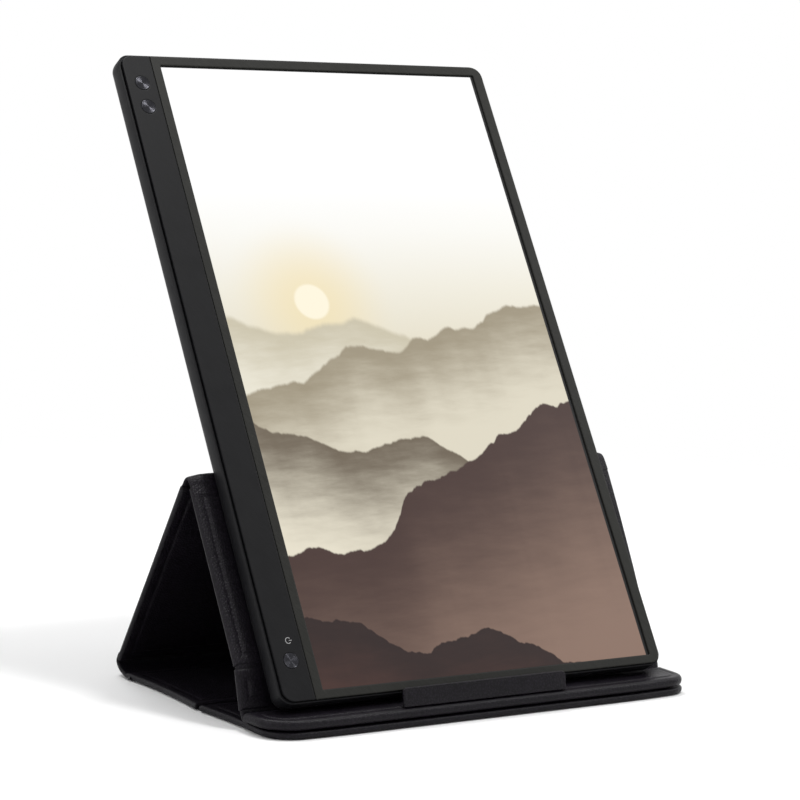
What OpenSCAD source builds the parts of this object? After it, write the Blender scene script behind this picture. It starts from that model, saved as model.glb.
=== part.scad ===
// Portable monitor standing in portrait on its folding leather-look cover.
// X runs to the viewer's right, -Y faces the viewer, +Z is up.
// The origin is the middle of the cover's underside, on the table.

/* [Display housing] */
// Thickness of the display
mon_t = 12; // [11.6:0.1:16]
// Radius of the four outline corners
mon_corner = 7; // [3:0.5:12]
// Thickness of the rear housing's side walls
side_wall = 1.8; // [1.2:0.1:2.4]
// Thickness of the rear housing's back wall
back_wall = 1.6; // [1.2:0.1:2]
// Radius that rounds the side walls into the back
back_round = 2.5; // [1:0.1:3.5]
// How far the rear housing's rim lies behind the front face
rim_drop = 0.8; // [0.2:0.1:1.2]

/* [Screen] */
// Width of the lit picture area
active_w = 193.6; // [180:0.2:200]
// Height of the lit picture area
active_h = 344.2; // [320:0.2:360]
// Distance from the housing's left side to the picture
active_left = 24.2; // [23:0.1:25]
// Distance from the housing's lower end to the picture
active_low = 5.6; // [5.4:0.1:9]
// Distance from the picture to the housing's right side
active_right = 8.6; // [8.4:0.1:14]
// Distance from the picture to the housing's upper end
active_high = 7; // [6:0.1:12]
// Depth of the screen's surface behind the front face
screen_drop = 0.8; // [0.5:0.1:1]
// Thickness of the screen's glass sandwich
cell_t = 1.2; // [0.8:0.1:1.4]
// Thickness of the diffusing films
film_t = 0.5; // [0.3:0.1:0.6]
// Thickness of the light guide plate
guide_t = 2; // [1.5:0.1:2.4]
// Thickness of the screen module's steel tray
tray_t = 0.4; // [0.3:0.1:0.6]
// Width of the moulded frame round the light guide
frame_w = 1.2; // [0.8:0.1:1.4]
// Width of the light bar along the light guide
led_w = 1.6; // [1:0.1:1.8]

/* [Chin and buttons] */
// Distance from the housing's left side to the seam right of the chin
chin_w = 18.7; // [18:0.1:18.9]
// Thickness of the chin and bezel plates
plate_t = 1.4; // [1.2:0.1:1.6]
// Gap of the seam between the chin and the bezel
seam = 0.3; // [0.2:0.05:0.5]
// Radius of the round buttons
button_r = 4; // [3:0.1:4.4]
// Distance from the housing's left side to the button centres
button_left = 10.7; // [10.2:0.1:11.2]
// Distance from the top to the upper menu button
menu_drop = 17.3; // [14:0.1:20]
// Spacing of the two upper buttons
button_pitch = 14; // [11:0.1:18]
// Height of the power button above the lower end
power_up = 21.3; // [16:0.1:30]
// How far the buttons stand proud of the chin
button_proud = 0.25; // [0.1:0.05:0.6]
// How far a button travels when pressed
button_travel = 0.4; // [0.2:0.05:0.45]

/* [Electronics and fasteners] */
// Thickness of the circuit boards
pcb_t = 1; // [0.8:0.1:1.2]
// Width of the main board
main_w = 96; // [70:1:110]
// Height of the main board
main_h = 62; // [50:1:90]
// Width of the button board
key_board_w = 9.4; // [8:0.1:9.6]
// Width of the picture timing board
timing_w = 14; // [10:0.5:18]
// Length of the picture timing board
timing_h = 190; // [120:5:220]
// Width of the data socket's mouth
socket_w = 9; // [8:0.1:12]
// Height of the data socket's mouth
socket_h = 3.2; // [2.6:0.1:3.4]
// Depth of the data socket
socket_depth = 7.4; // [6:0.1:9]
// Distance from the housing's left side to the main board
main_left = 36.2; // [30:0.1:50]
// Distance from the main board's left end to the data socket's middle
socket_in = 15.8; // [12:0.1:30]
// Radius of the screw heads
head_r = 2.2; // [1.8:0.1:2.4]
// Thickness of the screw heads
head_t = 0.9; // [0.7:0.1:1]
// Radius of the screw shanks
shank_r = 0.8; // [0.6:0.05:0.9]
// Radius of the posts that the screws go into
post_r = 1.8; // [1.6:0.1:1.8]
// Distance of the lowest and highest housing screws from the ends
screw_inset = 62; // [50:1:90]

/* [Cover] */
// Width of the cover
cover_w = 251; // [240:1:280]
// Depth of the cover's base on the table
base_depth = 160; // [156:1:172]
// Distance from the base's front edge to its crease
crease_in = 71.5; // [60:0.5:80]
// Gap between the two lower boards at the crease
crease_gap = 3; // [2:0.1:5]
// Thickness of the padded panels
board_t = 3.6; // [3:0.1:4.2]
// Thickness of the upper strip that carries the display
strip_t = 5.4; // [4.6:0.1:6.6]
// Depth of the upper strip, front to back
strip_depth = 27.5; // [26:0.1:29]
// Thickness of the leather on each face of a panel
leather_t = 1; // [0.7:0.1:1.2]
// Width of the soft edge outside the stiffener
soft_edge = 4; // [2.5:0.1:8]
// Corner radius at the base's front corners
base_corner = 18; // [10:0.5:22]
// Corner radius of the tent's panels
panel_corner = 2; // [1:0.5:6]

/* [Stand] */
// Lean of the display from upright
lean = 32.2; // [28:0.1:34]
// Distance from the base's front edge to the display's front edge
setback = 11.5; // [9:0.1:13]
// Distance up the display's back to the ridge of the tent
ridge_up = 121.5; // [112:0.5:130]
// Distance up the display's back to the kink above the toe
kink_up = 25; // [22:0.5:30]
// Outer radius of the leather round the ridge
ridge_r = 2.6; // [2.3:0.1:3.2]
// Outer radius of the leather round the rear fold
rear_r = 5.8; // [5:0.1:8]
// Outer radius of the leather round the toe fold
toe_r = 2.4; // [2:0.1:2.6]
// Thickness of the folded leather
fold_t = 1.8; // [1.4:0.1:2]
// Angle left open at the rear fold for tilting
fold_slack = 9; // [8.5:0.5:12]

/* [Lip] */
// Width of the lip that stops the display
lip_w = 96; // [60:1:140]
// Height of the lip
lip_h = 9.6; // [7:0.1:14]
// Thickness of the lip
lip_t = 2; // [1.6:0.1:2.6]
// Lean of the lip towards the display
lip_lean = 10; // [0:1:20]
// Offset of the lip's middle from the cover's middle
lip_x = -3; // [-20:1:20]
// Distance from the base's front edge to the lip's foot
lip_in = 2.4; // [1.6:0.1:4]

/* [Magnets] */
// Radius of the closing magnets
magnet_r = 4; // [3:0.5:5]
// Thickness of the upper strip's magnets
magnet_t = 2; // [1.5:0.1:2.2]
// How many magnets sit in a row
magnet_count = 6; // [4:1:8]
// Distance between the outermost magnets of a row
magnet_span = 190; // [150:5:210]
// Distance the strip moves back to its steeper place
strip_shift = 26; // [20:1:32]

/* [Fits] */
// Gap between soft pieces that rest on each other
rest_gap = 0.3; // [0.2:0.05:0.4]
// Gap between the display's back and the front panel
back_gap = 0.4; // [0.3:0.05:0.8]
// Gap round pieces that drop into a pocket
pocket_gap = 0.1; // [0.05:0.05:0.2]
// Radial clearance of the pressed buttons
run_gap = 0.05; // [0.02:0.01:0.1]

/* [Hidden] */
$fn = 64;

// Heights of the cover's layers
strip_low = board_t + rest_gap;
strip_top = strip_low + strip_t;
base_front = -base_depth / 2;

// Foot of the display: its rounded rear edge rests on the strip
mon_y = base_front + setback;
mon_z = strip_top + rest_gap + back_round + (mon_t - back_round) * sin(lean) - back_round * cos(lean);

// A point of the display's own side view, as [y, z] in the room
function on_display(deep, up) = [
    mon_y + up * sin(lean) + deep * cos(lean),
    mon_z + up * cos(lean) - deep * sin(lean)
];

// Fold lines of the tent, in side view
panel_deep = mon_t + back_gap;
ridge = on_display(panel_deep + ridge_r, ridge_up);
kink = on_display(panel_deep + board_t / 2, kink_up);
fold_gap = 0.3;
kink_gap = 0.6;
toe_end = toe_r + fold_gap;
toe = [base_front + strip_depth + toe_end, strip_low + toe_r];
rear = [base_depth / 2 - rear_r, rear_r];
toe_run = kink - toe;
toe_lean = atan2(toe_run[0], toe_run[1]);
toe_len = norm(toe_run);
rear_run = ridge - rear;
rear_lean = atan2(-rear_run[0], rear_run[1]) + asin((rear_r - ridge_r) / norm(rear_run));
rear_span = sqrt(pow(norm(rear_run), 2) - pow(rear_r - ridge_r, 2));
ridge_end = ridge_r + fold_gap + 0.1;
ridge_leg_t = ridge_r - 0.2;

// Lengths of the panels between their folds
crease = base_front + crease_in;
lower_front_len = crease_in - crease_gap / 2;
rear_leg = 2;
lower_rear_len = rear[0] - rear_leg - crease - crease_gap / 2;
rear_panel_len = rear_span - ridge_end;
front_panel_len = ridge_up - ridge_end - kink_up - kink_gap;
toe_panel_len = toe_len - toe_end - kink_gap;

// Stiffeners inside the leather
core_t = board_t - 2 * leather_t;
end_skin = 1.2;
toe_leg_t = fold_t + 0.6;
lip_corner = 2.5;
lip_leather = 0.6;
lip_hem = 2;
magnet_in = strip_depth / 2;

// Display outline and plates, measured from the housing's left and lower ends
mon_w = active_left + active_w + active_right;
mon_h = active_low + active_h + active_high;
left = -mon_w / 2;
inner_w = mon_w - 2 * side_wall;
inner_h = mon_h - 2 * side_wall;
plate_gap = 0.1;
button_x = left + button_left;
menu_z = mon_h - menu_drop;
key_heights = [menu_z, menu_z - button_pitch, power_up];

// Screen module, from the glass back to its steel tray
layer_gap = 0.05;
cell_y = screen_drop + layer_gap;
film_y = cell_y + cell_t + layer_gap;
guide_y = film_y + film_t + layer_gap;
tray_y = guide_y + guide_t + layer_gap;
module_back = tray_y + tray_t;
module_x0 = left + chin_w + plate_gap;
module_side = 2.4;
module_foot = 3.2;
module_head = 3.8;
module_x1 = left + active_left + active_w + module_side;
module_z0 = active_low - module_foot;
module_z1 = active_low + active_h + module_head;
module_w = module_x1 - module_x0;
module_h = module_z1 - module_z0;
cell_inset = 0.3;
frame_inset = tray_t + layer_gap;
light_inset = frame_inset + frame_w + layer_gap;
lamp_pitch = 8;
lamp_h = 3;
lamp_end = 6;

// Room behind the module
back_inside = mon_t - back_wall;
main_y = module_back + head_t + plate_gap;
main_x = left + main_left + main_w / 2;
main_up = mon_h - side_wall - 1.5 - main_h / 2;
big_chip = 14;
mid_chip = 10;
small_chip = 6;
chip_t = 1.3;
timing_chip = [7, 1, 12];
flex_w = 26;
flex_pitch = 58;
corner_in = 4;
flex_t = 0.15;
cable_t = 0.3;
cable_w = 9;
key_y = 4.9;
stem_end = 2.45;
switch_size = 5.2;
switch_t = 1;
plunger_y = stem_end + button_travel + layer_gap;
head_seat = back_inside + 0.6;
boss_depth = 1.5;
boss_r = head_r + 0.7;
post_end = back_inside - boss_depth;
post_in = side_wall + 2 * plate_gap + post_r;
post_xs = [left + post_in, -left - post_in];
post_zs = [screw_inset, mon_h / 2, mon_h - screw_inset];
screw_len = 5.4;
key_screw_low = 44;
key_screw_high = 56;
key_screw_zs = [key_screw_low, mon_h / 2 + key_screw_low / 4, mon_h - key_screw_high];
key_board_x = post_xs[0] + post_r + 0.4;
standoff_r = 2.4;
screw_hole_r = shank_r + 0.3;
socket_x = left + main_left + socket_in;
socket_y = main_y + pcb_t / 2 + 0.8;
socket_z = mon_h - socket_depth - 0.2;
timing_x = module_x0 + 2;
timing_top = mon_h / 2 + timing_h / 2;

leather = [0.07, 0.065, 0.075];
lining = [0.1, 0.095, 0.105];
housing = [0.16, 0.16, 0.165];
metal = [0.66, 0.67, 0.7];
circuit = [0.05, 0.28, 0.16];

// Square with its corner at the origin, less a quarter circle: cuts a round corner
module corner_cut(r) {
    difference() {
        translate([-1, -1]) square(r + 1);
        translate([r, r]) circle(r);
    }
}

// Rectangle standing on the X axis, with one radius below and one above
module outline(w, h, r_low, r_high) {
    difference() {
        translate([-w / 2, 0]) square([w, h]);
        for (side = [-1, 1]) {
            if (r_low > 0) translate([side * w / 2, 0]) scale([-side, 1]) corner_cut(r_low);
            if (r_high > 0) translate([side * w / 2, h]) scale([-side, -1]) corner_cut(r_high);
        }
    }
}

// Shapes drawn in X and Z, thickened from the front face backwards
module plate(deep, thick) {
    translate([0, deep + thick, 0]) rotate([90, 0, 0]) linear_extrude(thick) children();
}

// Side views drawn in Y and Z, drawn out across the width
module across(w) {
    translate([-w / 2, 0, 0]) rotate([90, 0, 90]) linear_extrude(w) children();
}

// Leather-wrapped panel standing on its lower edge, front face at Y 0.
// Its sides are rolled, and so is each end that isn't at a fold.
module wrapped(w, len, t, r_low, r_high, roll_low = false, roll_high = false) {
    round_r = t / 2 - 0.05;
    intersection() {
        plate(0, t) outline(w, len, r_low, r_high);
        linear_extrude(len) outline(w, t, round_r, round_r);
        across(w) difference() {
            square([t, len]);
            if (roll_low) for (face = [0, 1])
                translate([face * t, 0]) scale([1 - 2 * face, 1]) corner_cut(round_r);
            if (roll_high) for (face = [0, 1])
                translate([face * t, len]) scale([1 - 2 * face, -1]) corner_cut(round_r);
        }
    }
}

// Space inside a panel for its stiffener, smaller by gap on every side.
// At a rounded front end it follows the corners, a soft edge inside them.
module core(w, len, t, gap, r_low = 0) {
    low = r_low > 0 ? soft_edge : end_skin;
    inner_len = len - low - end_skin - 2 * gap;
    plate(leather_t + gap, t - 2 * leather_t - 2 * gap) translate([0, low + gap])
        outline(w - 2 * soft_edge - 2 * gap, inner_len, max(r_low - soft_edge - gap, 0), 0);
}

module panel_skin(w, len, t, r_low, r_high, roll_low = false, roll_high = false) {
    color(leather) difference() {
        wrapped(w, len, t, r_low, r_high, roll_low, roll_high);
        core(w, len, t, 0, r_low);
    }
}

// Places: each moves its children from a panel's own upright pose to where it lies
module laid(front, low, t) {
    translate([0, front, low + t]) rotate([-90, 0, 0]) children();
}

module on_lower_front() laid(base_front, 0, board_t) children();
module on_lower_rear() laid(crease + crease_gap / 2, 0, board_t) children();
module on_strip() laid(base_front, strip_low, strip_t) children();

module in_display() {
    translate([0, mon_y, mon_z]) rotate([-lean, 0, 0]) children();
}

module in_front_panel() {
    in_display() translate([0, panel_deep, kink_up + kink_gap]) children();
}

module in_toe() {
    translate([0, toe[0], toe[1]]) rotate([-toe_lean, 0, 0])
        translate([0, -board_t / 2, toe_end]) children();
}

module in_rear_panel() {
    translate([0, rear[0], rear[1]]) rotate([rear_lean, 0, 0])
        translate([0, rear_r - board_t, 0]) children();
}

module in_lip() {
    translate([lip_x, base_front + lip_in, strip_top + rest_gap]) rotate([-lip_lean, 0, 0])
        translate([0, -lip_t / 2, 0]) children();
}

// Cover, lower layer
module lower_front_skin() {
    on_lower_front() panel_skin(cover_w, lower_front_len, board_t, base_corner, 0, roll_low = true);
}

module lower_front_board() {
    color(lining) on_lower_front() difference() {
        core(cover_w, lower_front_len, board_t, pocket_gap, base_corner);
        base_magnet_rows(pocket_gap, board_t);
    }
}

module lower_rear_skin() {
    on_lower_rear() panel_skin(cover_w, lower_rear_len, board_t, 0, 0);
}

module lower_rear_board() {
    color(lining) on_lower_rear() core(cover_w, lower_rear_len, board_t, pocket_gap);
}

module crease_spine() {
    color(leather) translate([-cover_w / 2 + soft_edge / 2, crease - crease_gap / 2, 0])
        cube([cover_w - soft_edge, crease_gap, leather_t]);
}

module rear_fold_spine() {
    reach = 2 * rear_r;
    end_angle = rear_lean - fold_slack;
    color(leather) translate([0, rear[0], rear[1]]) across(cover_w - soft_edge) {
        intersection() {
            difference() {
                circle(rear_r);
                circle(rear_r - fold_t);
            }
            polygon([[0, 0], [0, -reach], [reach, -reach], [reach, reach * tan(end_angle)]]);
        }
        translate([-rear_leg, -rear_r]) square([rear_leg, fold_t]);
    }
}

// Magnets lie in rows across the cover, one row for each place of the strip
module magnet_row(r, up, deep, t) {
    pitch = magnet_span / (magnet_count - 1);
    for (i = [0 : magnet_count - 1])
        translate([-magnet_span / 2 + i * pitch, deep, up]) rotate([-90, 0, 0]) cylinder(r = r, h = t);
}

module base_magnet_rows(gap, t) {
    for (shift = [0, strip_shift])
        magnet_row(magnet_r + gap, magnet_in + shift, (board_t - t) / 2, t);
}

module base_magnets() {
    color(metal) on_lower_front() base_magnet_rows(0, core_t - 2 * pocket_gap);
}

// Cover, tent
module rear_panel_skin() {
    in_rear_panel() panel_skin(cover_w, rear_panel_len, board_t, 0, panel_corner);
}

module rear_panel_board() {
    color(lining) in_rear_panel() core(cover_w, rear_panel_len, board_t, pocket_gap);
}

module front_panel_skin() {
    in_front_panel() panel_skin(cover_w, front_panel_len, board_t, 0, panel_corner);
}

module front_panel_board() {
    color(lining) in_front_panel() core(cover_w, front_panel_len, board_t, pocket_gap);
}

module ridge_spine() {
    color(leather) in_display() translate([0, panel_deep, ridge_up])
        across(cover_w - 2 * panel_corner) {
            translate([ridge_r, 0]) circle(ridge_r);
            translate([0, -ridge_end]) square([ridge_leg_t, ridge_end]);
        }
}

module toe_skin() {
    in_toe() panel_skin(cover_w, toe_panel_len, board_t, 0, 0);
}

module toe_board() {
    color(lining) in_toe() core(cover_w, toe_panel_len, board_t, pocket_gap);
}

// Cover, upper strip and lip
module strip_skin() {
    on_strip() panel_skin(cover_w, strip_depth, strip_t, base_corner, 0, roll_low = true);
}

// The strip's magnets lie against the lower face of its stiffener
module strip_magnet_row(gap) {
    magnet_row(magnet_r + gap, magnet_in, strip_t - leather_t - pocket_gap - magnet_t, magnet_t);
}

module strip_board() {
    color(lining) on_strip() difference() {
        core(cover_w, strip_depth, strip_t, pocket_gap, base_corner);
        magnet_row(magnet_r + pocket_gap, magnet_in,
            strip_t - leather_t - 2 * pocket_gap - magnet_t, magnet_t + leather_t);
    }
}

module strip_magnets() {
    color(metal) on_strip() strip_magnet_row(0);
}

module toe_fold_spine() {
    color(leather) translate([0, toe[0], toe[1]]) across(cover_w - soft_edge) {
        circle(toe_r);
        translate([-toe_end, -toe_r]) square([toe_end, toe_leg_t]);
    }
}

module lip_pocket(gap) {
    size = [lip_w - 2 * lip_hem - 2 * gap, lip_t - 2 * lip_leather - 2 * gap, lip_h - 2 * lip_hem - 2 * gap];
    translate([-size[0] / 2, lip_leather + gap, lip_hem + gap]) cube(size);
}

module lip_skin() {
    color(leather) in_lip() difference() {
        wrapped(lip_w, lip_h, lip_t, 0, lip_corner, roll_low = true, roll_high = true);
        lip_pocket(0);
    }
}

module lip_board() {
    color(lining) in_lip() lip_pocket(pocket_gap / 2);
}

// Display: all modules below are drawn upright, front face at Y 0
module display_solid() {
    intersection() {
        plate(rim_drop, mon_t - rim_drop) outline(mon_w, mon_h, mon_corner, mon_corner);
        across(mon_w) difference() {
            square([mon_t, mon_h]);
            translate([mon_t, 0]) scale([-1, 1]) corner_cut(back_round);
            translate([mon_t, mon_h]) scale([-1, -1]) corner_cut(back_round);
        }
        linear_extrude(mon_h) outline(mon_w, mon_t, 0, back_round);
    }
}

module at_posts(xs, deep) {
    for (x = xs, z = post_zs) translate([x, deep, z]) rotate([-90, 0, 0]) children();
}

module rear_housing() {
    inner_r = mon_corner - side_wall;
    color(housing) in_display() difference() {
        union() {
            difference() {
                display_solid();
                translate([0, 0, side_wall]) plate(-1, back_inside + 1) outline(inner_w, inner_h, inner_r, inner_r);
            }
            at_posts(post_xs, post_end + layer_gap) cylinder(r = boss_r, h = boss_depth + 0.2);
            at_main_corners(main_y + pcb_t + layer_gap) cylinder(r = standoff_r, h = back_inside - main_y - pcb_t);
            at_key_screws(key_y + pcb_t + layer_gap) cylinder(r = standoff_r, h = back_inside - key_y - pcb_t);
        }
        at_posts(post_xs, 0) cylinder(r = screw_hole_r, h = mon_t + 1);
        at_posts(post_xs, head_seat) cylinder(r = head_r + 0.2, h = mon_t);
        at_main_corners(main_y) cylinder(r = shank_r + run_gap, h = screw_len - 1);
        at_key_screws(key_y) cylinder(r = shank_r + run_gap, h = screw_len - 1);
        socket_window();
    }
}

module socket_window() {
    grow = 0.2;
    translate([socket_x - socket_w / 2 - grow, socket_y - socket_h / 2 - grow, mon_h - side_wall - 1])
        cube([socket_w + 2 * grow, socket_h + 2 * grow, side_wall + 2]);
}

// Bezel: a thin plate over the screen's rim, with a rib and posts down its right side
module front_bezel() {
    x0 = left + chin_w + seam;
    x1 = -left - side_wall - plate_gap;
    z0 = side_wall + plate_gap;
    h = mon_h - 2 * z0;
    round_r = mon_corner - side_wall - plate_gap;
    open_x = left + active_left - 0.3;
    rib_x = module_x1 + 0.2;
    color(housing) in_display() difference() {
        union() {
            intersection() {
                translate([0, 0, z0]) plate(0, screen_drop) outline(mon_w - 2 * z0, h, round_r, round_r);
                translate([x0, -1, 0]) cube([x1 - x0, plate_t + 2, mon_h]);
            }
            intersection() {
                translate([0, 0, z0]) plate(0, plate_t + 0.6) outline(mon_w - 2 * z0, h, round_r, round_r);
                translate([rib_x, -1, 0]) cube([x1 - rib_x, plate_t + 2, mon_h]);
            }
            at_posts([post_xs[1]], plate_t) cylinder(r = post_r, h = post_end - plate_t);
        }
        translate([open_x, -1, active_low - 0.3]) cube([active_w + 0.6, mon_t, active_h + 0.6]);
        at_posts([post_xs[1]], post_end - screw_len) cylinder(r = shank_r + run_gap, h = screw_len + 1);
    }
}

// Chin: carries the three buttons in collared holes
module chin_cover() {
    x0 = left + side_wall + plate_gap;
    z0 = side_wall + plate_gap;
    round_r = mon_corner - side_wall - plate_gap;
    color(housing) in_display() difference() {
        union() {
            intersection() {
                translate([0, 0, z0]) plate(0, plate_t) outline(mon_w - 2 * z0, mon_h - 2 * z0, round_r, round_r);
                translate([x0, -1, 0]) cube([left + chin_w - x0, plate_t + 2, mon_h]);
            }
            at_posts([post_xs[0]], plate_t - 0.2) cylinder(r = post_r, h = post_end - plate_t + 0.2);
        }
        for (z = key_heights)
            translate([button_x, -1, z]) rotate([-90, 0, 0]) cylinder(r = button_r + run_gap, h = plate_t + 2);
        at_posts([post_xs[0]], post_end - screw_len) cylinder(r = shank_r + run_gap, h = screw_len + 1);
    }
}

// A block of the screen module, set in from the module's outline on every side
module module_block(inset, deep, thick) {
    translate([module_x0 + inset, deep, module_z0 + inset])
        cube([module_w - 2 * inset, thick, module_h - 2 * inset]);
}

module lcd_cell() {
    color([0.3, 0.32, 0.36]) in_display() module_block(cell_inset, cell_y, cell_t);
}

module optical_films() {
    color([0.92, 0.93, 0.95]) in_display() module_block(light_inset, film_y, film_t);
}

module light_guide() {
    x0 = module_x0 + light_inset + led_w + plate_gap;
    color([0.85, 0.92, 0.97]) in_display() translate([x0, guide_y, module_z0 + light_inset])
        cube([module_x1 - light_inset - x0, guide_t, module_h - 2 * light_inset]);
}

// A strip along the light guide's edge with a row of small lamps on it
module led_bar() {
    bar_h = module_h - 2 * light_inset - lamp_h;
    lamps = floor((bar_h - lamp_end) / lamp_pitch);
    color([0.95, 0.9, 0.6])
        in_display() translate([module_x0 + light_inset, guide_y, module_z0 + light_inset + lamp_h / 2]) {
            cube([led_w / 2, guide_t, bar_h]);
            for (i = [0 : lamps - 1])
                translate([led_w / 4, guide_t * 0.15, lamp_end / 2 + i * lamp_pitch])
                    cube([led_w * 0.75, guide_t * 0.7, lamp_h]);
        }
}

module lcd_frame() {
    color([0.93, 0.93, 0.9]) in_display() difference() {
        module_block(frame_inset, film_y, guide_y + guide_t - film_y);
        module_block(frame_inset + frame_w, film_y - 1, mon_t);
    }
}

module lcd_tray() {
    color(metal) in_display() difference() {
        module_block(0, film_y, module_back - film_y);
        module_block(tray_t, film_y - 1, tray_y - film_y + 1);
    }
}

// Electronics
module timing_board() {
    color(circuit) in_display() translate([timing_x, module_back + 0.05, timing_top - timing_h]) {
        cube([timing_w, pcb_t - 0.2, timing_h]);
        for (z = [0.25, 0.5, 0.72])
            translate([(timing_w - timing_chip[0]) / 2, 0.4, timing_h * z]) cube(timing_chip);
    }
}

// Thin films that lead from the glass round the module's edge to the timing board
module panel_flex() {
    x_out = module_x0 - 0.7;
    low = cell_y + cell_t / 2;
    color([0.75, 0.5, 0.2]) in_display() for (i = [-1, 0, 1])
        translate([0, 0, mon_h / 2 + i * flex_pitch - flex_w / 2]) linear_extrude(flex_w) {
            translate([x_out, low]) square([module_x0 + cell_inset - x_out - 0.02, flex_t]);
            translate([x_out, low]) square([flex_t, module_back + 0.1 - low]);
            translate([x_out, module_back + 0.1]) square([module_x0 + 1.9 - x_out, flex_t]);
        }
}

// Flat cable from the timing board's upper end, up and across to the main board
module video_cable() {
    deep = module_back + plate_gap;
    x0 = timing_x + 2;
    turn_z = main_up - main_h / 2 + corner_in + head_r + 1;
    plug_x = main_x - main_w / 2 + corner_in;
    color([0.2, 0.2, 0.22]) in_display() {
        plate(deep, cable_t) {
            translate([x0, timing_top + 0.1]) square([cable_w, turn_z + cable_w - timing_top - 0.1]);
            translate([x0, turn_z]) square([plug_x + cable_w - x0, cable_w]);
        }
        translate([plug_x, deep, turn_z]) cube([cable_w, main_y - deep - layer_gap, cable_w]);
    }
}

module at_main_corners(deep) {
    for (sx = [-1, 1], sz = [-1, 1])
        translate([main_x + sx * (main_w / 2 - corner_in), deep, main_up + sz * (main_h / 2 - corner_in)])
            rotate([-90, 0, 0]) children();
}

module at_key_screws(deep) {
    for (z = key_screw_zs) translate([key_board_x + key_board_w / 2, deep, z]) rotate([-90, 0, 0]) children();
}

// A chip on the main board's rear face, placed by shares of the board's size
module chip(right, up, size) {
    translate([main_w * right, pcb_t - plate_gap, main_h * up]) cube(size);
}

module main_board() {
    color(circuit) in_display() difference() {
        translate([main_x - main_w / 2, main_y, main_up - main_h / 2]) {
            cube([main_w, pcb_t, main_h]);
            chip(0.3, 0.35, [big_chip, chip_t, big_chip]);
            chip(0.6, 0.5, [mid_chip, chip_t, mid_chip]);
            chip(0.62, 0.18, [2 * small_chip, chip_t, small_chip]);
            chip(0.12, 0.6, [small_chip, chip_t, small_chip]);
        }
        at_main_corners(main_y - 1) cylinder(r = screw_hole_r, h = pcb_t + 2);
        translate([socket_x - socket_w / 2 - pocket_gap, main_y - 1, socket_z - pocket_gap])
            cube([socket_w + 2 * pocket_gap, pcb_t + 4, mon_h]);
    }
}

module usb_socket() {
    shell = 0.35;
    tongue = 0.7;
    color(metal) in_display() translate([socket_x, socket_y, socket_z]) {
        difference() {
            translate([-socket_w / 2, -socket_h / 2, 0]) cube([socket_w, socket_h, socket_depth]);
            translate([-socket_w / 2 + shell, -socket_h / 2 + shell, shell])
                cube([socket_w - 2 * shell, socket_h - 2 * shell, socket_depth]);
        }
        translate([-socket_w / 2 + 1.2, -tongue / 2, 0]) cube([socket_w - 2.4, tongue, socket_depth - 1]);
    }
}

module key_board() {
    low = power_up - 9;
    color(circuit) in_display() difference() {
        translate([key_board_x, key_y, low]) cube([key_board_w, pcb_t, menu_z + 8 - low]);
        at_key_screws(key_y - 1) cylinder(r = screw_hole_r, h = pcb_t + 2);
    }
}

module key_switches() {
    color([0.75, 0.75, 0.72]) in_display() for (z = key_heights) {
        translate([button_x - switch_size / 2, key_y - switch_t, z - switch_size / 2])
            cube([switch_size, switch_t, switch_size]);
        translate([button_x, plunger_y, z]) rotate([-90, 0, 0])
            cylinder(r = 1.2, h = key_y - switch_t - plunger_y + 0.1);
    }
}

module screw(len) {
    cylinder(r = head_r, h = head_t);
    translate([0, 0, -len]) cylinder(r = shank_r, h = len + 0.1);
}

module board_screws() {
    color(metal) in_display() {
        at_main_corners(main_y) mirror([0, 0, 1]) screw(screw_len - 2);
        at_key_screws(key_y) mirror([0, 0, 1]) screw(screw_len - 2);
    }
}

module housing_screws() {
    color(metal) in_display() at_posts(post_xs, head_seat) difference() {
        screw(screw_len - 0.4);
        translate([0, 0, head_t - 0.4]) for (turn = [0, 90])
            rotate([0, 0, turn]) translate([-1.2, -0.25, 0]) cube([2.4, 0.5, 1]);
    }
}

// Round button: cap in the chin's hole, flange behind it and a stem over the switch
module round_button(z) {
    flange_r = button_r + 0.7;
    color(metal) in_display() translate([button_x, 0, z]) rotate([-90, 0, 0]) {
        translate([0, 0, -button_proud]) cylinder(r = button_r, h = plate_t + button_proud + 0.2);
        translate([0, 0, plate_t + 0.1]) cylinder(r = flange_r, h = 0.5);
        translate([0, 0, plate_t]) cylinder(r = 1.5, h = stem_end - plate_t);
    }
}

module menu_button() {
    round_button(key_heights[0]);
}

module select_button() {
    round_button(key_heights[1]);
}

module power_button() {
    round_button(key_heights[2]);
}

lower_front_skin();
lower_front_board();
lower_rear_skin();
lower_rear_board();
crease_spine();
rear_fold_spine();
base_magnets();
rear_panel_skin();
rear_panel_board();
front_panel_skin();
front_panel_board();
ridge_spine();
toe_skin();
toe_board();
strip_skin();
strip_board();
toe_fold_spine();
strip_magnets();
lip_skin();
lip_board();
rear_housing();
front_bezel();
chin_cover();
lcd_cell();
optical_films();
light_guide();
led_bar();
lcd_frame();
lcd_tray();
timing_board();
panel_flex();
video_cable();
main_board();
usb_socket();
key_board();
key_switches();
board_screws();
housing_screws();
menu_button();
select_button();
power_button();
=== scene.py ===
# Portable monitor in portrait, leaning on its folded cover.
import math

import bmesh
import bpy
from mathutils import Matrix, Vector, noise


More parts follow.
